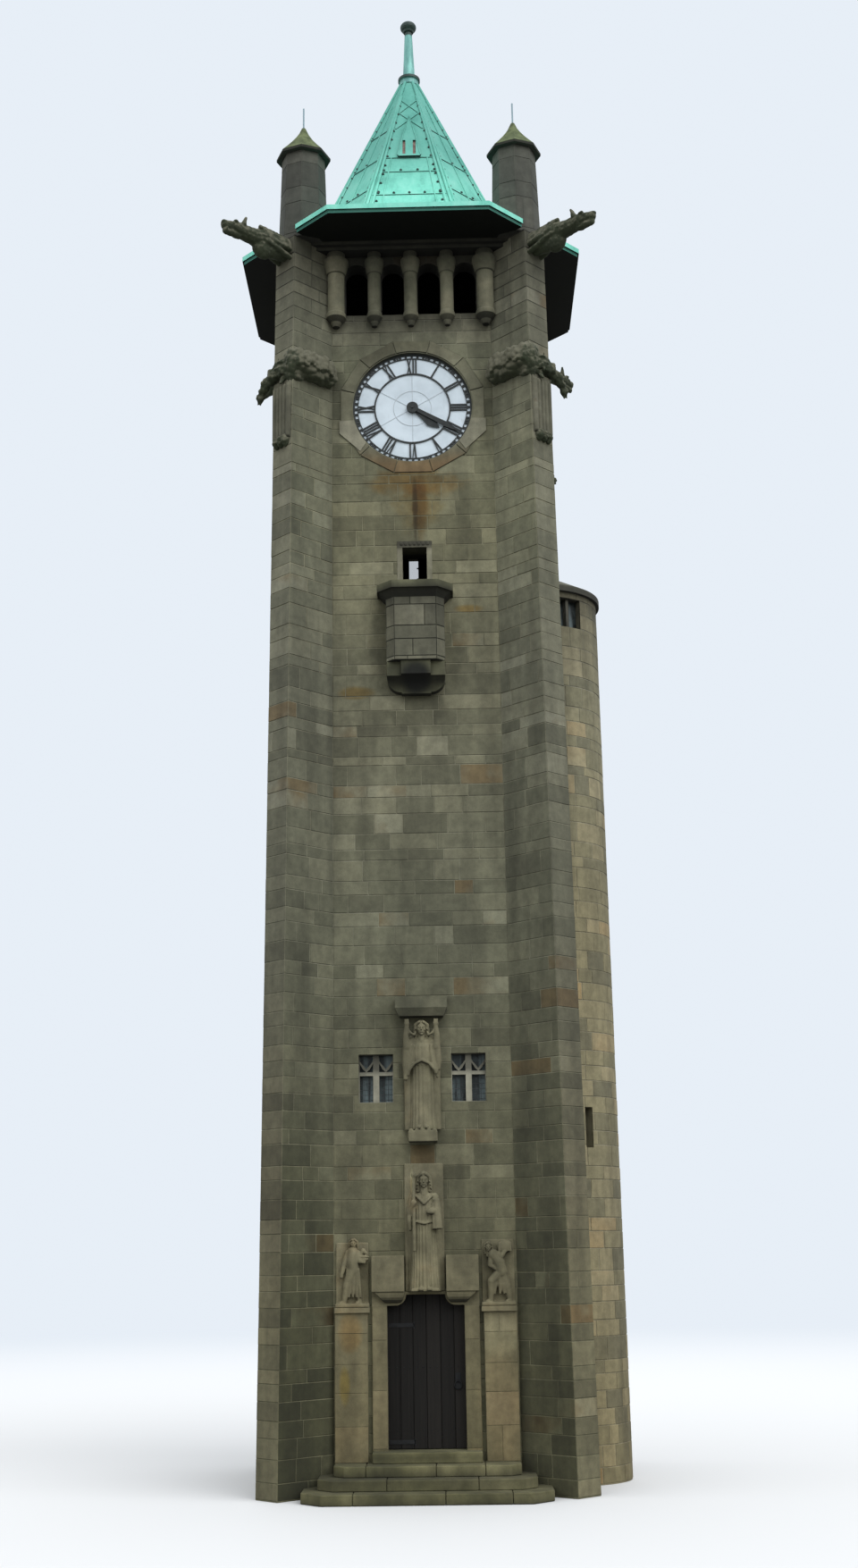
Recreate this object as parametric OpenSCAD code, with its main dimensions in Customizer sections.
// Clock tower: square masonry shaft with diagonal corner buttresses, a round stair turret,
// four dials, an open belfry arcade and an eight-sided copper spire.
// The origin is on the tower's centre line at ground level, the entrance faces -Y.

/* [Tower] */
// Half width of the tower between opposite wall faces
wall_half = 1650; // [1600:10:2000]
// Thickness of the tower's walls
wall_t = 500; // [400:10:600]
// Height of the eaves' underside
eaves_z = 19560; // [16300:20:23500]

/* [Buttresses] */
// Thickness of a buttress
buttress_t = 467; // [400:1:560]
// How far a buttress reaches out at ground level, along X and along Y
reach_base = 730; // [600:10:850]
// How far a buttress reaches out under the eaves
reach_top = 580; // [450:10:650]

/* [Floors] */
// Top of the first floor, below the twin windows
first_floor_z = 4500; // [4200:50:4700]
// Height of the dials' centres above the upper floor
dial_lift = 3470; // [3300:10:3600]
// Drop of the dials' centres below the belfry floor
dial_drop = 1530; // [1450:10:1700]
// Height of the eaves above the belfry floor
belfry_h = 1360; // [1340:10:1600]
// Thickness of a floor
floor_t = 200; // [150:10:260]

/* [Steps] */
// Rise of one step
riser = 144; // [120:1:174]
// Going of one step
going = 300; // [260:5:330]

/* [Doorway] */
// Width of the doorway between its jambs
door_w = 1110; // [1000:1:1340]
// Height of the doorway's flat head above the threshold
door_h = 2105; // [2000:5:2200]
// Thickness of the door
door_t = 60; // [50:2:80]
// How far the doorway's corbels reach in from each jamb
door_corbel = 275; // [200:5:320]
// Drop of the corbels below the flat head
door_corbel_drop = 150; // [120:5:180]
// Width of the moulded frame on the wall's face
frame_w = 215; // [160:5:240]
// How far the frame stands proud of the wall
frame_proud = 50; // [30:5:80]

/* [Windows] */
// Sill height of the twin windows above the first floor
twin_sill = 900; // [800:10:1000]
// Height of the twin windows
twin_h = 710; // [600:10:800]
// Width of one twin window
twin_w = 515; // [420:5:560]
// Width of the wall between a twin window and the corner of the room
twin_margin = 205; // [160:5:260]
// Width of the balcony window
balcony_window_w = 390; // [320:5:450]
// Height of the balcony window
balcony_window_h = 560; // [500:10:650]
// Sill height of the balcony window above the upper floor
balcony_sill = 420; // [300:10:480]

/* [Turret] */
// Outer radius of the stair turret
turret_r = 1000; // [900:10:1200]
// Thickness of the turret's wall
turret_t = 300; // [220:10:350]
// Distance of the turret's axis from the tower's wall face
turret_out = 350; // [300:10:450]
// Height of the turret's eaves above the upper floor
turret_lift = 450; // [300:10:900]
// Rise of the turret's roof above its eaves
turret_roof_rise = 560; // [400:10:800]

/* [Belfry] */
// Width of a post between two openings
post_w = 230; // [200:5:260]
// Width of the wall between the last opening and the corner of the room
arcade_margin = 55; // [40:5:80]
// Sill height of the openings above the belfry floor
arch_sill = 150; // [80:10:250]
// Height of the openings
arch_h = 950; // [850:10:980]
// Thickness of the belfry's walls
belfry_wall_t = 300; // [240:10:400]

/* [Roof] */
// How far the eaves stand out from the walls
eaves_out = 1220; // [1100:10:1300]
// Height of the eaves' fascia
fascia_h = 140; // [100:5:180]
// Rise of the eaves' slope from their underside to the spire's foot
skirt_rise = 570; // [500:10:640]
// How far the spire's foot stands out from the walls
spire_out = 70; // [40:5:120]
// Height of the spire from its foot to its neck
spire_h = 3790; // [3400:10:4500]
// Half width of the spire's neck
spire_neck = 150; // [120:5:200]
// Thickness of the spire's boarding and copper
spire_t = 110; // [80:5:140]
// Height of the finial above the spire's neck
finial_h = 1380; // [1200:10:1600]

/* [Pinnacles] */
// Distance of a pinnacle's axis from the wall faces, along X and along Y
pinnacle_out = 140; // [80:5:180]
// Radius of a pinnacle over its corners at its foot
pinnacle_r = 410; // [340:5:420]
// Height of a pinnacle's shaft above the eaves' underside
pinnacle_h = 1660; // [1400:20:1900]
// Height of a pinnacle's cap
cap_h = 640; // [500:10:800]

/* [Dials] */
// Radius of a dial
dial_r = 980; // [880:1:1176]
// Minutes past the hour that the hands show
clock_minutes = 20; // [0:1:59]
// Hour that the hands show
clock_hour = 4; // [0:1:11]

/* [Balcony] */
// Height of the balcony's rim above the upper floor
rim_lift = 230; // [150:10:300]
// Half width of the balcony's rim
rim_half = 600; // [540:10:680]
// How far the rim stands out from the wall
rim_reach = 550; // [500:10:650]

/* [Hidden] */

$fn = 48;

room_half = wall_half - wall_t;
// Half width of the flat wall face between two buttresses
recess_half = wall_half - buttress_t / sqrt(2);
// Gap that a turning piece keeps round its pin
pin_gap = 0.3;
// How far a cut runs past the face that it leaves
past = 1;

// Heights
step_count = 3;
ground_floor_z = (step_count + 1) * riser;
belfry_floor_z = eaves_z - belfry_h;
dial_z = belfry_floor_z - dial_drop;
upper_floor_z = dial_z - dial_lift;
turret_h = upper_floor_z + turret_lift;
balcony_top_z = upper_floor_z + rim_lift;
spire_foot_z = eaves_z + skirt_rise;
spire_neck_z = spire_foot_z + spire_h;
tower_h = spire_neck_z + finial_h;
twin_sill_z = first_floor_z + twin_sill;
balcony_window_z = upper_floor_z + balcony_sill;

// Places in plan
eaves_reach = wall_half + eaves_out;
spire_foot = wall_half + spire_out;
pinnacle_x = wall_half + pinnacle_out;
turret_x = wall_half + turret_out;
twin_x = room_half - twin_margin - twin_w / 2;
arch_w = (2 * (room_half - arcade_margin) - 3 * post_w) / 4;

// Doorway
reveal_set = 85;
reveal_half = door_w / 2 + reveal_set;
door_head_z = ground_floor_z + door_h;
lining_top_z = door_head_z + 70;
lining_depth = 135;

// Distance of the spire's and the eaves' corners, as a share of the distance of their long edges
corner_share = 0.46;

// An outline of eight sides whose four long edges lie a given distance from the centre line
function eight_sides(reach) = [
    for (turn = [0:3])
        each [for (side = [-1, 1]) turned([side * corner_share * reach, -reach], 90 * turn)]
];

function turned(p, angle) = [
    p[0] * cos(angle) - p[1] * sin(angle),
    p[0] * sin(angle) + p[1] * cos(angle)
];

// Reach of a buttress at a height
function reach_at(z) = reach_base + (reach_top - reach_base) * z / eaves_z;

// Distance from the centre line to a buttress's end face, measured along the diagonal
function end_face_at(z) = (wall_half + recess_half + 2 * reach_at(z)) / sqrt(2);

// A solid between two outlines of equal point count, listed counter-clockwise
module loft(low, high, z_low, z_high) {
    count = len(low);
    points = concat(
        [for (p = low) [p[0], p[1], z_low]],
        [for (p = high) [p[0], p[1], z_high]]
    );
    faces = concat(
        [[for (i = [0:count - 1]) i]],
        [[for (i = [count - 1:-1:0]) count + i]],
        [for (i = [0:count - 1]) [i, count + i, count + (i + 1) % count, (i + 1) % count]]
    );
    polyhedron(points = points, faces = faces);
}

// A round bar with round ends between two points
module bar(from, to, r) {
    run = to - from;
    flat = norm([run[0], run[1]]);
    translate(from)
        rotate([0, atan2(flat, run[2]), atan2(run[1], run[0])]) {
            cylinder(r = r, h = norm(run));
            sphere(r = r);
            translate([0, 0, norm(run)]) sphere(r = r);
        }
}

// Puts a piece of the front on all four sides
module on_four_sides() {
    for (turn = [0:3]) rotate([0, 0, 90 * turn]) children();
}

// Puts a piece that points along +X on the four diagonals
module on_four_corners() {
    for (turn = [0:3]) rotate([0, 0, 45 + 90 * turn]) children();
}

// Puts a piece of the front's right half on both halves
module on_both_sides() {
    children();
    mirror([1, 0, 0]) children();
}

// Keeps what stands in front of the tower's front face, between its two buttresses
module in_front_recess() {
    difference() {
        children();
        translate([-wall_half, -wall_half, 0]) cube([2 * wall_half, wall_t, eaves_z]);
        on_both_sides() buttress_solid();
    }
}

// Turns an outline in X and Z into a slab that faces -Y, from the first depth to the second
module upright(y_front, y_back) {
    translate([0, y_back, 0])
        rotate([90, 0, 0])
            linear_extrude(height = y_back - y_front) children();
}

// Floors
module floor_slab(top_z, thickness) {
    translate([-room_half, -room_half, top_z - thickness])
        cube([2 * room_half, 2 * room_half, thickness]);
}

module ground_floor() {
    color("darkgray") floor_slab(ground_floor_z, ground_floor_z);
}

module first_floor() {
    color("tan") floor_slab(first_floor_z, floor_t);
}

module upper_floor() {
    color("tan") floor_slab(upper_floor_z, floor_t);
}

module belfry_floor() {
    color("tan") floor_slab(belfry_floor_z, floor_t);
}

// Walls
module wall_slab(z_low, z_high) {
    translate([-room_half, -wall_half, z_low])
        cube([2 * room_half, wall_t, z_high - z_low]);
}

module front_wall_beside_door(side) {
    low_x = side > 0 ? reveal_half : -room_half;
    color("rosybrown")
        translate([low_x, -wall_half, 0])
            cube([room_half - reveal_half, wall_t, lining_top_z]);
}

module front_wall_over_door() {
    color("rosybrown") wall_slab(lining_top_z, first_floor_z);
}

// Round hole for a dial, with a rebate in the wall's face that its frame stands in
dial_rebate = 90;
dial_hole_r = dial_r - 60;

module dial_hole() {
    translate([0, -wall_half, dial_z])
        rotate([-90, 0, 0]) {
            translate([0, 0, -past]) cylinder(r = dial_hole_r, h = wall_t + 2 * past, $fn = 96);
            translate([0, 0, -past]) cylinder(r = dial_r, h = dial_rebate + past, $fn = 96);
        }
}

module window_hole(middle_x, sill_z, width, height) {
    translate([middle_x - width / 2, -wall_half - past, sill_z])
        cube([width, wall_t + 2 * past, height]);
}

module twin_window_holes() {
    for (side = [-1, 1]) window_hole(side * twin_x, twin_sill_z, twin_w, twin_h);
}

module front_wall_upper() {
    color("rosybrown")
        difference() {
            wall_slab(first_floor_z, belfry_floor_z);
            twin_window_holes();
            window_hole(0, balcony_window_z, balcony_window_w, balcony_window_h);
            dial_hole();
        }
}

// The slim window behind the balcony window, whose light shows through it
back_window_x = 70;
back_window_w = 170;
back_window_h = 800;
back_window_z = upper_floor_z + 1250;

module back_wall() {
    color("rosybrown")
        rotate([0, 0, 180])
            difference() {
                wall_slab(0, belfry_floor_z);
                twin_window_holes();
                window_hole(back_window_x, back_window_z, back_window_w, back_window_h);
                dial_hole();
            }
}

module left_wall() {
    color("rosybrown")
        rotate([0, 0, -90])
            difference() {
                wall_slab(0, belfry_floor_z);
                twin_window_holes();
                dial_hole();
            }
}

module right_wall() {
    color("rosybrown")
        rotate([0, 0, 90])
            difference() {
                wall_slab(0, belfry_floor_z);
                dial_hole();
            }
}

// Buttresses, each with the corner of the wall that it stands against
function corner_outline(reach) = [
    [room_half, -wall_half],
    [recess_half, -wall_half],
    [recess_half + reach, -wall_half - reach],
    [wall_half + reach, -recess_half - reach],
    [wall_half, -recess_half],
    [wall_half, -room_half],
    [room_half, -room_half]
];

// The buttress at the front right
module buttress_solid() {
    loft(corner_outline(reach_base), corner_outline(reach_top), 0, eaves_z);
}

module buttress(turn) {
    color("gray")
        rotate([0, 0, turn])
            difference() {
                buttress_solid();
                for (side = [0, 90]) rotate([0, 0, side]) dial_hole();
            }
}

// Belfry arcade
arch_pitch = arch_w + post_w;
arch_sill_z = belfry_floor_z + arch_sill;
arch_top_z = arch_sill_z + arch_h;

module arch_outline() {
    spring_z = arch_top_z - arch_w / 2;
    translate([-arch_w / 2, arch_sill_z]) square([arch_w, spring_z - arch_sill_z]);
    translate([0, spring_z]) circle(d = arch_w);
}

module belfry_wall(turn) {
    color("rosybrown")
        rotate([0, 0, turn])
            upright(-wall_half, -wall_half + belfry_wall_t)
                difference() {
                    translate([-room_half, belfry_floor_z])
                        square([2 * room_half, eaves_z - belfry_floor_z]);
                    for (i = [-1.5:1:1.5]) translate([i * arch_pitch, 0]) arch_outline();
                }
}

// A moulded cornice of two steps under the eaves, which the columns carry
cornice_h = 120;
cornice_low_proud = 250;
cornice_high_proud = 330;
cornice_z = eaves_z - cornice_h;

module cornice_step(proud, low_z, high_z) {
    translate([-wall_half, -wall_half - proud, low_z])
        cube([2 * wall_half, proud + past, high_z - low_z]);
}

module cornice() {
    color("dimgray")
        on_four_sides()
            in_front_recess() {
                cornice_step(cornice_low_proud, cornice_z, cornice_z + cornice_h / 2);
                cornice_step(cornice_high_proud, cornice_z + cornice_h / 2, eaves_z);
            }
}

// A belfry column: a pendant foot, a shaft, a swelling capital and a neck up to the cornice
column_proud = 90;
end_column_r = 150;
pendant_h = 260;
capital_foot_z = arch_top_z - 260;
capital_swell_z = arch_top_z - 50;
capital_swell = 1.4;
capital_lip_h = 60;

module column(r) {
    foot_z = arch_sill_z - pendant_h;
    translate([0, -wall_half - column_proud, 0])
        rotate_extrude($fn = 32)
            polygon([
                [0, foot_z],
                [0.4 * r, foot_z],
                [0.6 * r, foot_z + 0.3 * pendant_h],
                [1.1 * r, foot_z + 0.6 * pendant_h],
                [1.1 * r, foot_z + 0.85 * pendant_h],
                [0.94 * r, arch_sill_z],
                [0.94 * r, capital_foot_z],
                [1.06 * r, capital_foot_z + 20],
                [capital_swell * r, capital_swell_z],
                [capital_swell * r, capital_swell_z + capital_lip_h],
                [r, capital_swell_z + 1.5 * capital_lip_h],
                [r, cornice_z],
                [0, cornice_z]
            ]);
}

module arcade_columns() {
    end_x = 2 * arch_pitch - post_w / 2 + end_column_r;
    color("burlywood")
        on_four_sides()
            in_front_recess() {
                for (i = [-1:1]) translate([i * arch_pitch, 0, 0]) column(post_w / 2);
                on_both_sides() translate([end_x, 0, 0]) column(end_column_r);
            }
}

// Roof
eaves_ring = wall_half - 150;
notch_half = 300;

// The eaves end against the pinnacles, and nothing of them is left outside
module pinnacle_notch() {
    on_four_corners()
        translate([pinnacle_x * sqrt(2), 0, eaves_z - past]) {
            translate([0, -notch_half, 0]) cube([eaves_reach, 2 * notch_half, skirt_rise + 2 * past]);
            rotate([0, 0, 45]) cylinder(r = pinnacle_r, h = skirt_rise + 2 * past, $fn = 8);
        }
}

// The fascia's lower band is set back under the upper one
fascia_set_back = 30;

module roof_eaves() {
    color("mediumaquamarine")
        difference() {
            union() {
                loft(
                    eight_sides(eaves_reach - fascia_set_back), eight_sides(eaves_reach - fascia_set_back),
                    eaves_z, eaves_z + 0.4 * fascia_h
                );
                loft(
                    eight_sides(eaves_reach), eight_sides(eaves_reach),
                    eaves_z + 0.4 * fascia_h, eaves_z + fascia_h
                );
                loft(eight_sides(eaves_reach), eight_sides(spire_foot), eaves_z + fascia_h, spire_foot_z);
            }
            loft(eight_sides(eaves_ring), eight_sides(eaves_ring), eaves_z - past, spire_foot_z + past);
            pinnacle_notch();
        }
}

// Height of the solid head of the spire, over the hollow
spire_head_h = 400;

module spire() {
    color("mediumaquamarine")
        difference() {
            loft(eight_sides(spire_foot), eight_sides(spire_neck), spire_foot_z, spire_neck_z);
            loft(
                eight_sides(spire_foot - spire_t), eight_sides(spire_neck / 3),
                spire_foot_z - past, spire_neck_z - spire_head_h
            );
        }
}

// Distance of the spire's face from the centre line at a height
function spire_face_at(z) =
    spire_neck + (spire_foot - spire_neck) * (spire_neck_z - z) / (spire_neck_z - spire_foot_z);

// A narrow gable with two slits on each long face of the spire, which leans back with it
gable_foot_z = spire_foot_z + 1620;
gable_eaves_z = gable_foot_z + 550;
gable_top_z = gable_foot_z + 1150;
gable_half = 200;
gable_proud = 60;
slit_h = 380;
slit_w = 50;
slit_x = 90;
slit_depth = 40;

// A slab that leans back with the spire's face, from one distance in front of it to another
module leaning_slab(near, far) {
    foot = spire_face_at(gable_foot_z);
    top = spire_face_at(gable_top_z);
    rotate([90, 0, 90])
        translate([0, 0, -gable_half])
            linear_extrude(height = 2 * gable_half)
                polygon([
                    [-foot - near, gable_foot_z],
                    [-foot - far, gable_foot_z],
                    [-top - far, gable_top_z],
                    [-top - near, gable_top_z]
                ]);
}

module spire_gables() {
    color("mediumaquamarine")
        on_four_sides()
            difference() {
                intersection() {
                    leaning_slab(0, gable_proud);
                    upright(-eaves_reach, 0)
                        polygon([
                            [-gable_half, gable_foot_z],
                            [gable_half, gable_foot_z],
                            [0.55 * gable_half, gable_eaves_z],
                            [0, gable_top_z],
                            [-0.55 * gable_half, gable_eaves_z]
                        ]);
                }
                intersection() {
                    leaning_slab(gable_proud - slit_depth, 2 * gable_proud);
                    upright(-eaves_reach, 0)
                        for (side = [-1, 1])
                            translate([side * slit_x - slit_w / 2, gable_foot_z + slit_w])
                                square([slit_w, slit_h]);
                }
            }
}

// Finial: collar, tapering stem and ball
ball_r = 148;
ball_half_h = 108;
collar_h = 150;
collar_lip = 50;
stem_foot_r = 112;
stem_top_r = 66;
stem_cup_r = 92;

module finial() {
    ball_z = tower_h - ball_half_h;
    color("darkslategray")
        rotate_extrude()
            polygon([
                [0, spire_neck_z],
                [spire_neck + 0.4 * collar_lip, spire_neck_z],
                [spire_neck + 0.4 * collar_lip, spire_neck_z + 0.6 * collar_h],
                [spire_neck + collar_lip, spire_neck_z + 0.7 * collar_h],
                [spire_neck + collar_lip, spire_neck_z + collar_h],
                [stem_foot_r, spire_neck_z + collar_h],
                [stem_top_r, ball_z - ball_half_h],
                [stem_cup_r, ball_z - ball_half_h],
                for (angle = [-45:15:90]) [ball_r * cos(angle), ball_z + ball_half_h * sin(angle)]
            ]);
}

// Pinnacles: eight-sided shafts under swept caps
pinnacle_top_r = pinnacle_r - 50;
cap_reach = 50;
cap_lip_h = 45;
cap_tip_r = 36;
cap_sweep = 1.3;
spike_r = 14;
spike_h = 400;

module at_pinnacles() {
    on_four_corners() translate([pinnacle_x * sqrt(2), 0, 0]) rotate([0, 0, 45]) children();
}

module pinnacles() {
    color("dimgray")
        at_pinnacles()
            translate([0, 0, eaves_z])
                cylinder(r1 = pinnacle_r, r2 = pinnacle_top_r, h = pinnacle_h, $fn = 8);
}

module pinnacle_caps() {
    lip_r = pinnacle_r + cap_reach;
    color("olivedrab")
        at_pinnacles()
            translate([0, 0, eaves_z + pinnacle_h]) {
                rotate_extrude($fn = 8)
                    polygon([
                        [0, 0],
                        [lip_r, 0],
                        for (t = [0:0.2:1])
                            [
                                cap_tip_r + (lip_r - cap_tip_r) * pow(1 - t, cap_sweep),
                                cap_lip_h + (cap_h - cap_lip_h) * t
                            ],
                        [0, cap_h]
                    ]);
                translate([0, 0, cap_h]) cylinder(r = spike_r, h = spike_h, $fn = 12);
            }
}

// Gargoyles, which lean out from the buttresses' tops. Each is cut to a side outline and a plan.
gargoyle_z = eaves_z - 280;
gargoyle_half = 150;

module gargoyle_side() {
    polygon([
        [-60, -110], [250, -180], [470, -260], [620, -230],
        [730, -100], [860, 0], [990, -50], [1290, -60],
        [1310, -10], [1130, 40],
        [1330, 70], [1340, 160], [1190, 230], [1140, 330],
        [1070, 240], [860, 180], [640, 300], [560, 160],
        [-60, 270]
    ]);
}

module gargoyle_plan() {
    half = [
        [-60, gargoyle_half], [500, 0.75 * gargoyle_half], [840, 0.42 * gargoyle_half],
        [1010, 0.5 * gargoyle_half], [1120, 0.62 * gargoyle_half], [1345, 0.3 * gargoyle_half]
    ];
    polygon(concat(half, [for (i = [len(half) - 1:-1:0]) [half[i][0], -half[i][1]]]));
}

module gargoyles() {
    color("dimgray")
        on_four_corners()
            difference() {
                translate([end_face_at(eaves_z), 0, gargoyle_z])
                    intersection() {
                        translate([0, gargoyle_half, 0])
                            rotate([90, 0, 0])
                                linear_extrude(height = 2 * gargoyle_half) gargoyle_side();
                        translate([0, 0, -wall_t]) linear_extrude(height = 2 * wall_t) gargoyle_plan();
                    }
                rotate([0, 0, 45]) buttress_solid();
            }
}

// Carved beasts that lie across the buttresses beside the dials, each over a ribbed strip
beast_z = dial_z + 450;
strip_half = 210;
strip_proud = 30;
strip_bond = 200;
strip_top_z = dial_z + 200;
strip_foot_z = dial_z - 770;
rib_r = 46;
rib_pitch = 82;
rib_count = 5;
lobe_r = 112;
lobe_pitch = 105;

// A beast's haunch, shoulders, neck and head, counted from the middle of the end face: from, to, radius
beast_bars = [
    [[-560, -250, -120], [-60, -230, 30], 235],
    [[-20, -120, 30], [50, 140, 0], 200],
    [[50, 140, 0], [90, 330, -120], 120],
    [[90, 330, -120], [60, 500, -300], 90]
];

module corner_beast() {
    translate([end_face_at(beast_z), 0, beast_z])
        for (limb = beast_bars) bar(limb[0], limb[1], limb[2]);
    translate([end_face_at(strip_top_z), 0, strip_foot_z]) {
        for (i = [0:rib_count - 1])
            translate([strip_proud, (i - (rib_count - 1) / 2) * rib_pitch, 0])
                cylinder(r = rib_r, h = strip_top_z - strip_foot_z);
        translate([-strip_bond, -strip_half, 0])
            cube([strip_bond + strip_proud, 2 * strip_half, strip_top_z - strip_foot_z + 100]);
        for (i = [-1:1]) translate([20, i * lobe_pitch, -30]) sphere(r = lobe_r);
    }
}

module corner_beasts() {
    color("dimgray")
        for (turn = [0, 180])
            rotate([0, 0, turn])
                on_both_sides()
                    difference() {
                        rotate([0, 0, -45]) corner_beast();
                        buttress_solid();
                        translate([-wall_half, -wall_half, 0])
                            cube([2 * wall_half, 2 * wall_half, eaves_z]);
                    }
}

// Dials: a sheet of glass behind an iron frame, whose numerals tie its rings together
glass_t = 12;
frame_t = 22;
rim_w = 30;
track_w = 45;
track_ring_w = 12;
inner_ring_w = 24;
inner_ring_r = 0.645 * dial_r;
track_ring_r = dial_r - rim_w - track_w;
hub_r = 20;
hub_collar_r = 50;
hub_reach = 80;
dial_back = wall_half - dial_rebate;

module facing_dial(depth) {
    translate([0, -depth, dial_z]) rotate([90, 0, 0]) children();
}

module dial_glasses() {
    color("white")
        on_four_sides() facing_dial(dial_back) cylinder(r = dial_r - 5, h = glass_t, $fn = 96);
}

module ring(outer, width) {
    difference() {
        circle(r = outer, $fn = 96);
        circle(r = outer - width, $fn = 96);
    }
}

// Numerals, drawn upright between the inner ring and the minute track
numerals = ["XII", "I", "II", "III", "IIII", "V", "VI", "VII", "VIII", "IX", "X", "XI"];
thick_stroke = 25;
thin_stroke = 14;
stroke_lean = 28;
tie_w = 34;
numeral_low = inner_ring_r - inner_ring_w / 2;
numeral_high = track_ring_r - track_ring_w / 2;

function letter_room(letter) = letter == "I" ? 46 : 90;
function room_before(name, i) = i == 0 ? 0 : room_before(name, i - 1) + letter_room(name[i - 1]);

module stroke(low_x, high_x, width) {
    polygon([
        [low_x - width / 2, numeral_low],
        [low_x + width / 2, numeral_low],
        [high_x + width / 2, numeral_high],
        [high_x - width / 2, numeral_high]
    ]);
}

module letter(name) {
    if (name == "I") {
        stroke(0, 0, thick_stroke);
    } else {
        foot_x = name == "V" ? 0 : stroke_lean;
        stroke(foot_x, -stroke_lean, thick_stroke);
        stroke(-foot_x, stroke_lean, thin_stroke);
    }
}

module numeral(name) {
    room = room_before(name, len(name));
    for (i = [0:len(name) - 1])
        translate([room_before(name, i) + (letter_room(name[i]) - room) / 2, 0]) letter(name[i]);
}

// Slim bars that carry the glass inside the inner ring
glazing_w = 9;
glazing_t = 6;
glazing_ring_r = 0.5 * inner_ring_r;

module glazing_outline() {
    ring(glazing_ring_r, glazing_w);
    for (turn = [0:5])
        rotate([0, 0, 60 * turn])
            translate([-glazing_w / 2, hub_r]) square([glazing_w, inner_ring_r - inner_ring_w / 2 - hub_r]);
}

module dial_frame() {
    facing_dial(dial_back + glass_t) {
        linear_extrude(height = frame_t) {
            ring(dial_r, rim_w);
            ring(track_ring_r, track_ring_w);
            ring(inner_ring_r, inner_ring_w);
            for (hour = [0:11]) rotate([0, 0, -30 * hour]) numeral(numerals[hour]);
            for (turn = [0:11])
                rotate([0, 0, 30 * turn + 15])
                    translate([-tie_w / 2, track_ring_r - track_ring_w / 2])
                        square([tie_w, track_w + track_ring_w]);
        }
        linear_extrude(height = glazing_t) glazing_outline();
        cylinder(r = hub_collar_r, h = frame_t);
        cylinder(r = hub_r, h = hub_reach);
    }
}

hour_hand_angle = 30 * clock_hour + clock_minutes / 2;
minute_hand_angle = 6 * clock_minutes;
hand_t = 8;
hand_eye_r = 95;
hand_eye_t = 20;
hand_root_half = 30;
hour_hand_lift = frame_t + pin_gap;
minute_hand_lift = hour_hand_lift + hand_eye_t + pin_gap;

// A hand that points up, with a broad blade and a round eye on the hub's pin
module hand(length, blade_half) {
    half = [
        [hand_root_half, 0], [0.5 * (hand_root_half + blade_half), 0.48 * length],
        [blade_half, 0.68 * length], [0.6 * blade_half, 0.85 * length]
    ];
    linear_extrude(height = hand_eye_t)
        difference() {
            circle(r = hand_eye_r);
            circle(r = hub_r + pin_gap);
        }
    linear_extrude(height = hand_t)
        difference() {
            polygon(concat(
                half, [[0, length]],
                [for (i = [len(half) - 1:-1:0]) [-half[i][0], half[i][1]]]
            ));
            circle(r = hub_r + pin_gap);
        }
}

module minute_hand_shape() {
    facing_dial(dial_back + glass_t + minute_hand_lift)
        rotate([0, 0, -minute_hand_angle]) hand(track_ring_r - 5, 44);
}

module hour_hand_shape() {
    facing_dial(dial_back + glass_t + hour_hand_lift)
        rotate([0, 0, -hour_hand_angle]) hand(inner_ring_r - 60, 90);
}

module dial_frames() {
    color("darkslategray") {
        on_four_sides() dial_frame();
        for (turn = [90, 180, 270])
            rotate([0, 0, turn]) {
                minute_hand_shape();
                hour_hand_shape();
            }
    }
}

module minute_hand() {
    color("darkslategray") minute_hand_shape();
}

module hour_hand() {
    color("darkslategray") hour_hand_shape();
}

// Doorway
module doorway_outline() {
    corbel_x = door_w / 2 - door_corbel + door_corbel_drop;
    difference() {
        translate([-door_w / 2, ground_floor_z - past]) square([door_w, door_h + past]);
        for (side = [0, 1])
            mirror([side, 0]) {
                translate([corbel_x, door_head_z - door_corbel_drop])
                    square([door_corbel, door_corbel_drop + past]);
                translate([corbel_x, door_head_z]) circle(r = door_corbel_drop);
            }
    }
}

frame_half = door_w / 2 + frame_w;
frame_top_z = door_head_z + 40;
lining_back = wall_half - lining_depth;

// The leaf laps over the lining's back, and its straps hang it on two pintles
door_lap = 35;
door_gap = 3;
door_foot_gap = 8;
door_head_lap = 20;
door_front = lining_back - door_gap;
door_back = door_front - door_t;
hinge_pin_r = 10;
hinge_inset = 7;
hinge_x = -(door_w / 2 + door_lap + hinge_pin_r);
hinge_y = -(door_back - hinge_inset);
hinge_eye_r = 18;
hinge_eye_h = 60;
hinge_heights = [ground_floor_z + 60, ground_floor_z + 1640];
bracket_t = 20;
bracket_h = 30;
strap_t = 6;
strap_h = 80;
strap_run = 400;
strap_inset = 15;
back_strap_t = 14;
back_strap_run = 360;

module door_frame() {
    color("wheat") {
        upright(-wall_half - frame_proud, -wall_half)
            difference() {
                translate([-frame_half, ground_floor_z])
                    square([2 * frame_half, frame_top_z - ground_floor_z]);
                doorway_outline();
            }
        upright(-wall_half, -lining_back)
            difference() {
                translate([-reveal_half, ground_floor_z])
                    square([2 * reveal_half, lining_top_z - ground_floor_z]);
                doorway_outline();
            }
        for (z = hinge_heights) pintle(z);
    }
}

module pintle(z) {
    translate([-reveal_half, hinge_y - hinge_pin_r, z - bracket_h])
        cube([reveal_half + hinge_x, 2 * hinge_pin_r, bracket_h - pin_gap]);
    translate([-reveal_half, -lining_back, z - bracket_h])
        cube([bracket_t, hinge_y + hinge_pin_r + lining_back, bracket_h - pin_gap]);
    translate([hinge_x, hinge_y, z - bracket_h])
        cylinder(r = hinge_pin_r, h = bracket_h + hinge_eye_h);
}

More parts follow.
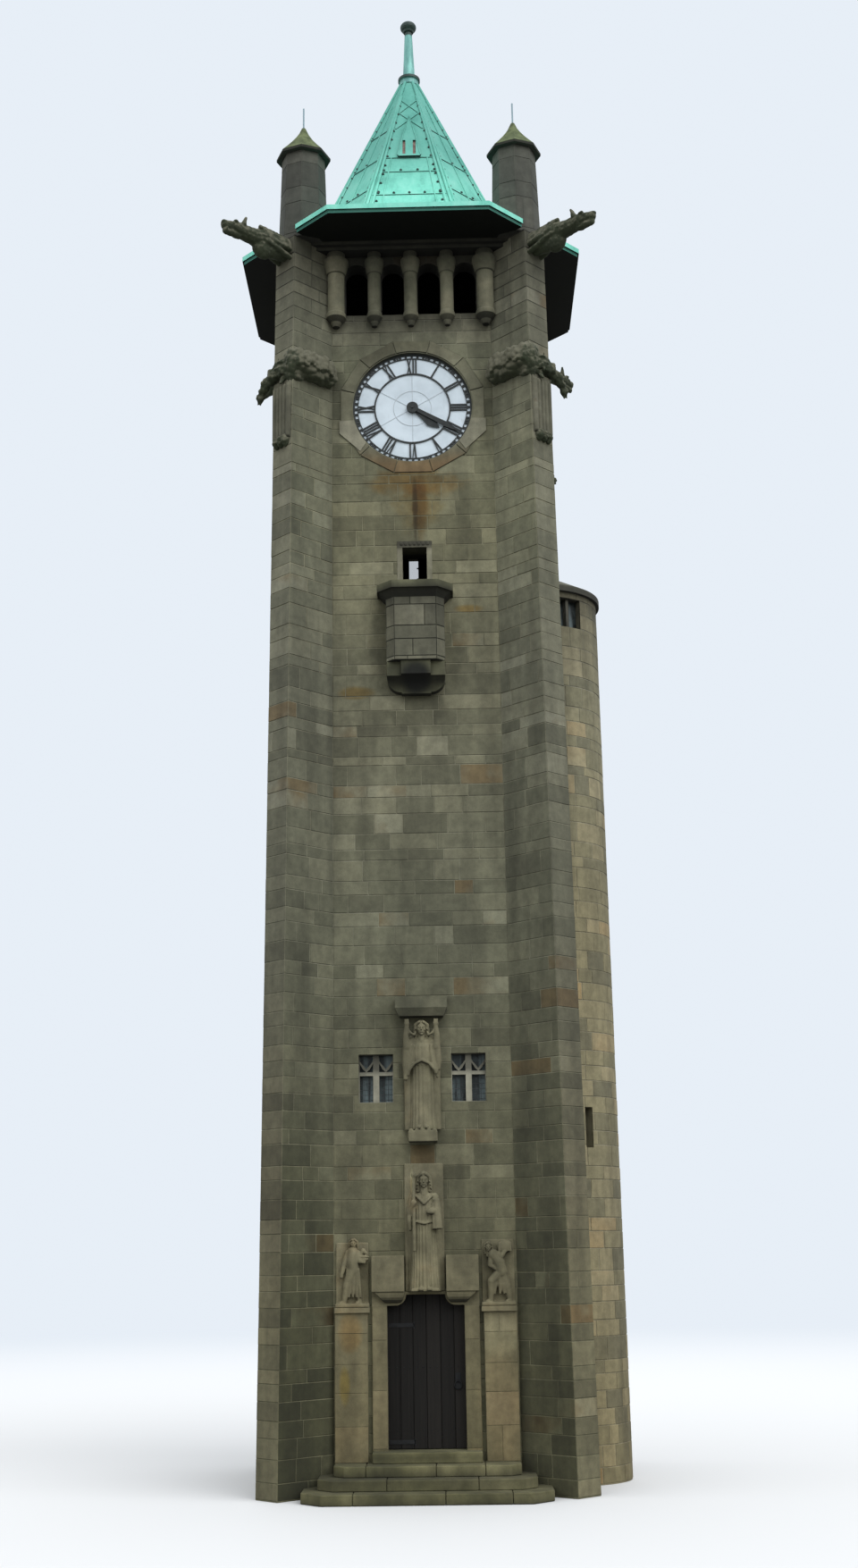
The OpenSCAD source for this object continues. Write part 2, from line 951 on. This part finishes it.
// The plate with its ring, by which the door is pulled to
plate_x = door_w / 2 - 150;
plate_z = ground_floor_z + 800;
plate_w = 80;
plate_h = 220;
ring_stud_r = 14;
ring_stud_h = 22;
ring_r = 52;
ring_wire_r = 8;

module door_plate() {
    translate([plate_x, -door_front - strap_t, plate_z]) cube([plate_w, strap_t + past, plate_h]);
    translate([plate_x + plate_w / 2, -door_front - strap_t, plate_z + plate_h / 2])
        rotate([90, 0, 0]) {
            cylinder(r = ring_stud_r, h = ring_stud_h);
            translate([0, -ring_r, ring_stud_h / 2])
                rotate_extrude() translate([ring_r, 0]) circle(r = ring_wire_r, $fn = 16);
        }
}

module entrance_door() {
    leaf_half = door_w / 2 + door_lap;
    leaf_foot_z = ground_floor_z + door_foot_gap;
    color("saddlebrown")
        difference() {
            union() {
                translate([-leaf_half, -door_front, leaf_foot_z])
                    cube([2 * leaf_half, door_t, door_head_z + door_head_lap - leaf_foot_z]);
                for (z = hinge_heights) {
                    translate([hinge_x, hinge_y, z]) cylinder(r = hinge_eye_r, h = hinge_eye_h);
                    translate([hinge_x, -door_back - past, z])
                        cube([back_strap_run, back_strap_t, hinge_eye_h]);
                    translate([-door_w / 2 + strap_inset, -door_front - strap_t, z])
                        cube([strap_run, strap_t + past, strap_h]);
                }
                door_plate();
            }
            for (z = hinge_heights)
                translate([hinge_x, hinge_y, z - past])
                    cylinder(r = hinge_pin_r + pin_gap, h = hinge_eye_h + 2 * past);
        }
}

block_inner = 300;
block_h = 500;
block_proud = 200;

block_foot_h = 155;
block_foot_reach = 130;

// The curved foot of a head block, on the frame's face, cut to a front and a side outline
module block_foot() {
    face = -wall_half - frame_proud;
    intersection() {
        upright(face - block_foot_reach, face)
            polygon([
                for (angle = [0:22.5:90])
                    [
                        block_inner + block_foot_h / 2 * (1 - cos(angle)),
                        frame_top_z - block_foot_h * sin(angle)
                    ],
                [frame_half - 1.2 * block_foot_h, frame_top_z - block_foot_h],
                [frame_half - 0.2 * block_foot_h, frame_top_z]
            ]);
        translate([block_inner, 0, 0])
            rotate([90, 0, 90])
                linear_extrude(height = frame_half - block_inner)
                    polygon([
                        [face, frame_top_z],
                        for (angle = [0:15:90])
                            [
                                face - block_foot_reach * cos(angle),
                                frame_top_z - block_foot_h * sin(angle)
                            ]
                    ]);
    }
}

module door_head_blocks() {
    color("wheat")
        on_both_sides() {
            translate([block_inner, -wall_half - block_proud, frame_top_z])
                cube([frame_half - block_inner, block_proud, block_h]);
            block_foot();
        }
}

// Steps
threshold_reach = 300;
step_spread = 210;
step_cant = 150;
step_cant_spread = 70;

// A step's plan: canted front corners, and ends that die on the buttresses' sides
module step_plan(half, cant, reach) {
    front_y = -wall_half - reach;
    end_y = -wall_half - max(half - recess_half, 0);
    polygon([
        [-half + cant, front_y], [half - cant, front_y], [half, front_y + cant], [half, end_y],
        [min(half, recess_half), -wall_half], [-min(half, recess_half), -wall_half],
        [-half, end_y], [-half, front_y + cant]
    ]);
}

module step(index) {
    above = step_count - index;
    color("tan")
        translate([0, 0, riser * (index - 1)])
            linear_extrude(height = riser)
                step_plan(
                    recess_half - pilaster_margin + step_spread * above,
                    step_cant + step_cant_spread * above, threshold_reach + going * (above + 1)
                );
}

module threshold() {
    color("tan") {
        translate([-frame_half, -wall_half - threshold_reach, ground_floor_z - riser])
            cube([2 * frame_half, threshold_reach, riser]);
        translate([-reveal_half, -wall_half - threshold_reach, ground_floor_z - riser])
            cube([2 * reveal_half, wall_t + threshold_reach, riser]);
        translate([-reveal_half, -wall_half, 0])
            cube([2 * reveal_half, wall_t, ground_floor_z]);
    }
}

// Statues: a robed figure stands against the wall
fold_count = 7;

module robed_figure(height, r) {
    head_r = 0.062 * height;
    shoulder_z = height - 2.6 * head_r;
    rotate_extrude($fn = 32)
        polygon([
            [0, 0], [r, 0], [0.96 * r, 0.2 * height], [0.72 * r, 0.5 * height],
            [0.88 * r, shoulder_z - 0.05 * height], [0.6 * r, shoulder_z],
            [0.25 * r, shoulder_z + 0.5 * head_r], [0, shoulder_z + 0.5 * head_r]
        ]);
    for (fold = [0:fold_count - 1]) {
        angle = 180 + 180 * fold / (fold_count - 1);
        translate([0.93 * r * cos(angle), 0.93 * r * sin(angle), 0])
            cylinder(r = 0.13 * r, h = 0.42 * height, $fn = 16);
    }
    translate([0, 0, height - head_r]) sphere(r = head_r, $fn = 24);
    translate([0, 0.45 * head_r, height - 1.15 * head_r]) sphere(r = 1.1 * head_r, $fn = 24);
}

module bars(limbs) {
    for (limb = limbs) bar(limb[0], limb[1], limb[2]);
}

statue_r = 230;
statue_front = 110;
lower_statue_h = 1740;
lower_panel_half = 290;
lower_panel_h = 1800;
lower_panel_t = 60;
upper_ledge_z = twin_sill_z - 590;
upper_ledge_h = 180;
upper_ledge_half = 220;
upper_ledge_reach = 300;
upper_statue_h = 1650;
canopy_half = 385;
canopy_h = 290;
canopy_reach = 330;
canopy_gap = 40;
canopy_set_back = 60;

// The lower figure's staff and its two forearms: from, to and radius
lower_statue_bars = [
    [[-150, -110, 900], [-150, -150, 1560], 34],
    [[-170, -60, 1180], [-120, -170, 1020], 60],
    [[170, -60, 1260], [150, -120, 930], 85]
];

// One of the upper figure's arms, raised to the canopy
upper_statue_bars = [
    [[170, -40, 1180], [235, -130, 1330], 52],
    [[235, -130, 1330], [170, -120, 1590], 42]
];

module lower_statue() {
    color("wheat")
        in_front_recess() {
            translate([0, -wall_half - statue_front, frame_top_z]) {
                robed_figure(lower_statue_h, statue_r);
                bars(lower_statue_bars);
            }
            translate([-lower_panel_half, -wall_half - lower_panel_t, frame_top_z])
                cube([2 * lower_panel_half, lower_panel_t + past, lower_panel_h]);
        }
}

module upper_statue() {
    color("wheat")
        in_front_recess() {
            translate([0, -wall_half - statue_front, upper_ledge_z + upper_ledge_h - past]) {
                robed_figure(upper_statue_h - canopy_gap, statue_r);
                on_both_sides() bars(upper_statue_bars);
            }
            translate([-upper_ledge_half, -wall_half - upper_ledge_reach, upper_ledge_z])
                cube([2 * upper_ledge_half, upper_ledge_reach + past, upper_ledge_h]);
        }
}

function slab_outline(half, reach) = [
    [-half, -wall_half - reach], [half, -wall_half - reach], [half, -wall_half], [-half, -wall_half]
];

module statue_canopy() {
    foot_z = upper_ledge_z + upper_ledge_h + upper_statue_h;
    full = slab_outline(canopy_half, canopy_reach);
    color("gray") {
        loft(
            slab_outline(canopy_half - canopy_set_back, canopy_reach - canopy_set_back), full,
            foot_z, foot_z + 0.4 * canopy_h
        );
        loft(full, full, foot_z + 0.4 * canopy_h, foot_z + canopy_h);
    }
}

// Pilasters beside the doorway, with a relief figure on each
pilaster_inner = frame_half + 30;
pilaster_margin = 20;
pilaster_outer = recess_half - pilaster_margin;
pilaster_top_z = door_head_z - 170;
pilaster_proud = 110;
pilaster_set_back = 30;
ledge_h = 70;
ledge_lip = 50;
relief_x = pilaster_outer - 250;
relief_back = 70;

module pilasters() {
    color("burlywood")
        in_front_recess()
            on_both_sides() {
                translate([
                    pilaster_inner + pilaster_set_back, -wall_half - pilaster_proud, ground_floor_z - riser
                ])
                    cube([
                        pilaster_outer - pilaster_inner - pilaster_set_back, pilaster_proud + past,
                        pilaster_top_z - ledge_h - ground_floor_z + riser
                    ]);
                translate([
                    pilaster_inner, -wall_half - pilaster_proud - ledge_lip, pilaster_top_z - ledge_h
                ])
                    cube([pilaster_outer - pilaster_inner, pilaster_proud + ledge_lip + past, ledge_h]);
            }
}

// A standing figure with a basin, as legs, trunk and arms: from, to and radius
left_relief_bars = [
    [[-110, 0, 75], [-30, -20, 480], 75],
    [[130, 0, 75], [30, -20, 480], 75],
    [[0, -20, 480], [20, -20, 760], 110],
    [[-60, -40, 740], [-150, -50, 420], 45],
    [[80, -40, 740], [160, -60, 620], 45]
];

// A bending figure with a load on its back
right_relief_bars = [
    [[-80, 0, 75], [40, -30, 380], 75],
    [[130, 0, 75], [60, -20, 380], 75],
    [[50, -20, 420], [-20, -40, 740], 115],
    [[-40, -50, 720], [-160, -60, 480], 45],
    [[60, 0, 780], [190, 0, 700], 80]
];
relief_head_r = 75;

module relief_figures() {
    $fn = 12;
    color("burlywood")
        in_front_recess() {
            translate([-relief_x, -wall_half - relief_back, pilaster_top_z]) {
                bars(left_relief_bars);
                translate([30, -30, 920]) sphere(r = relief_head_r);
            }
            translate([relief_x, -wall_half - relief_back, pilaster_top_z]) {
                bars(right_relief_bars);
                translate([-120, -50, 880]) sphere(r = relief_head_r);
            }
        }
}

// Balcony: a hollow canted drum under a moulded rim
rim_front_half = 360;
rim_h = 240;
rim_step = 30;
drum_half = rim_half - 145;
drum_front_half = rim_front_half - 30;
drum_reach = rim_reach - 120;
drum_h = 1280;
drum_foot_z = balcony_top_z - drum_h;
drum_t = 90;
drum_floor_h = 200;

function canted(half, front_half, reach) = [
    [-front_half, -wall_half - reach],
    [front_half, -wall_half - reach],
    [half, -wall_half - reach + (half - front_half)],
    [half, -wall_half],
    [-half, -wall_half],
    [-half, -wall_half - reach + (half - front_half)]
];

module balcony() {
    color("gray")
        difference() {
            union() {
                translate([0, 0, drum_foot_z])
                    linear_extrude(height = drum_h) polygon(canted(drum_half, drum_front_half, drum_reach));
                loft(
                    canted(drum_half, drum_front_half, drum_reach),
                    canted(rim_half - rim_step, rim_front_half - rim_step / 2, rim_reach - rim_step),
                    balcony_top_z - rim_h, balcony_top_z - rim_h / 2
                );
                translate([0, 0, balcony_top_z - rim_h / 2])
                    linear_extrude(height = rim_h / 2) polygon(canted(rim_half, rim_front_half, rim_reach));
            }
            translate([0, 0, drum_foot_z + drum_floor_h])
                linear_extrude(height = drum_h)
                    polygon(canted(drum_half - drum_t, drum_front_half - drum_t / 2, drum_reach - drum_t));
        }
}

// The corbel: a coved block between two rounded shoulders
corbel_half = 230;
corbel_h = 470;
corbel_set_back = 30;
corbel_cove_r = 250;
shoulder_r = drum_half - corbel_half;
shoulder_reach = 330;

module balcony_corbel() {
    corbel_reach = drum_reach - corbel_set_back;
    color("dimgray")
        difference() {
            union() {
                translate([-corbel_half, -wall_half - corbel_reach, drum_foot_z - corbel_h])
                    cube([2 * corbel_half, corbel_reach, corbel_h]);
                upright(-wall_half - shoulder_reach, -wall_half)
                    for (side = [-1, 1])
                        translate([side * corbel_half, drum_foot_z - shoulder_r]) {
                            circle(r = shoulder_r);
                            translate([-shoulder_r, 0]) square([2 * shoulder_r, shoulder_r]);
                        }
            }
            translate([-rim_half, -wall_half - corbel_reach, drum_foot_z - corbel_h])
                rotate([0, 90, 0]) cylinder(r = corbel_cove_r, h = 2 * rim_half);
        }
}

// Stair turret: a round wall in three segments that stands against the tower's right side.
// The seams are the segments' azimuths, counted from +X.
turret_seam = 37;
turret_back_seam = 120;
turret_window_azimuth = -60;
turret_window_w = 450;
turret_window_h = 500;
turret_window_z = turret_h - 600;
turret_slit_w = 130;
turret_slit_h = 600;
turret_slit_z = first_floor_z + 250;

// Puts an upright opening of the turret at its azimuth, its outside towards +X
module at_turret_window() {
    translate([turret_x, 0, 0]) rotate([0, 0, turret_window_azimuth]) children();
}

module turret_opening(width, sill_z, height) {
    at_turret_window()
        translate([turret_r - 1.2 * turret_t, -width / 2, sill_z]) cube([1.4 * turret_t, width, height]);
}

module turret_wall(from, to) {
    reach = 3 * turret_r;
    color("burlywood")
        difference() {
            intersection() {
                translate([turret_x, 0, 0])
                    difference() {
                        cylinder(r = turret_r, h = turret_h, $fn = 96);
                        translate([0, 0, -past])
                            cylinder(r = turret_r - turret_t, h = turret_h + 2 * past, $fn = 96);
                    }
                translate([turret_x, 0, 0])
                    linear_extrude(height = turret_h)
                        polygon([
                            [0, 0],
                            for (angle = [from, (from + to) / 2, to])
                                [reach * cos(angle), reach * sin(angle)]
                        ]);
                translate([wall_half, -reach, 0]) cube([reach, 2 * reach, turret_h]);
            }
            turret_opening(turret_window_w, turret_window_z, turret_window_h);
            turret_opening(turret_slit_w, turret_slit_z, turret_slit_h);
        }
}

turret_eaves_lip = 60;
turret_eaves_h = 100;
turret_tip_r = 60;

module turret_roof() {
    eaves_r = turret_r + turret_eaves_lip;
    color("dimgray")
        difference() {
            translate([turret_x, 0, turret_h]) {
                cylinder(r = eaves_r, h = turret_eaves_h, $fn = 96);
                translate([0, 0, turret_eaves_h])
                    cylinder(r1 = eaves_r, r2 = turret_tip_r, h = turret_roof_rise, $fn = 96);
            }
            translate([0, -2 * turret_r, turret_h - past])
                cube([wall_half, 4 * turret_r, turret_eaves_h + turret_roof_rise + 2 * past]);
        }
}

// Tracery and glass of the windows
mullion_w = 90;
turret_mullion_w = 50;
tracery_t = 90;
tracery_set_back = 60;
pane_t = 10;
light_h = 400;
transom_h = 55;
head_margin = 12;
branch_w = 42;

// A light's head: two stone branches rise from the transom's middle and leave three openings
module light_head(width, height) {
    difference() {
        translate([-width / 2, 0]) square([width, height]);
        for (side = [-1, 1])
            polygon([
                [0, -past],
                [side * 0.24 * width, 0.16 * height],
                [side * width / 2, 0.52 * height],
                [side * width / 2, 0.52 * height + branch_w],
                [side * 0.36 * width, 0.52 * height],
                [side * 0.16 * width, 0.16 * height + branch_w],
                [0, branch_w]
            ]);
    }
}

// Two square-headed lights, each with branched tracery in its head
module twin_tracery_outline() {
    light_w = (twin_w - mullion_w - 2 * head_margin) / 2;
    head_z = twin_sill_z + light_h + transom_h;
    difference() {
        translate([-twin_w / 2, twin_sill_z]) square([twin_w, twin_h]);
        for (side = [-1, 1])
            translate([side * (light_w + mullion_w) / 2, 0]) {
                translate([-light_w / 2, twin_sill_z + head_margin])
                    square([light_w, light_h - head_margin]);
                translate([0, head_z]) light_head(light_w, twin_sill_z + twin_h - head_margin - head_z);
            }
    }
}

module twin_windows(y_front, y_back) {
    for (turn = [0, 180, 270])
        rotate([0, 0, turn])
            for (side = [-1, 1])
                translate([side * twin_x, 0, 0]) upright(y_front, y_back) children();
}

// A slab across the turret's window, from one distance behind its outer face to another
module across_turret_window(width, near, far) {
    at_turret_window()
        translate([turret_r - far, -width / 2, turret_window_z]) cube([far - near, width, turret_window_h]);
}

module window_tracery() {
    front = -wall_half + tracery_set_back;
    color("wheat") {
        twin_windows(front, front + tracery_t) twin_tracery_outline();
        across_turret_window(turret_mullion_w, tracery_set_back, tracery_set_back + tracery_t);
    }
}

module window_glass() {
    front = -wall_half + tracery_set_back + tracery_t;
    color("lightsteelblue") {
        twin_windows(front, front + pane_t)
            translate([-twin_w / 2, twin_sill_z]) square([twin_w, twin_h]);
        rotate([0, 0, 180])
            upright(front, front + pane_t)
                translate([back_window_x - back_window_w / 2, back_window_z])
                    square([back_window_w, back_window_h]);
        across_turret_window(
            turret_window_w, tracery_set_back + tracery_t, tracery_set_back + tracery_t + pane_t
        );
    }
}

ground_floor();
first_floor();
upper_floor();
belfry_floor();
front_wall_beside_door(-1);  // front_wall_left
front_wall_beside_door(1);  // front_wall_right
front_wall_over_door();
front_wall_upper();
back_wall();
left_wall();
right_wall();
buttress(0);  // buttress_front_right
buttress(90);  // buttress_back_right
buttress(180);  // buttress_back_left
buttress(270);  // buttress_front_left
belfry_wall(0);  // belfry_wall_front
belfry_wall(90);  // belfry_wall_right
belfry_wall(180);  // belfry_wall_back
belfry_wall(270);  // belfry_wall_left
arcade_columns();
cornice();
roof_eaves();
spire();
spire_gables();
finial();
pinnacles();
pinnacle_caps();
gargoyles();
corner_beasts();
dial_glasses();
dial_frames();
minute_hand();
hour_hand();
entrance_door();
door_frame();
door_head_blocks();
threshold();
step(3);  // third_step
step(2);  // second_step
step(1);  // bottom_step
upper_statue();
statue_canopy();
lower_statue();
relief_figures();
pilasters();
balcony();
balcony_corbel();
turret_wall(-turret_back_seam, -turret_seam);  // turret_wall_front
turret_wall(-turret_seam, turret_seam);  // turret_wall_side
turret_wall(turret_seam, turret_back_seam);  // turret_wall_back
turret_roof();
window_tracery();
window_glass();
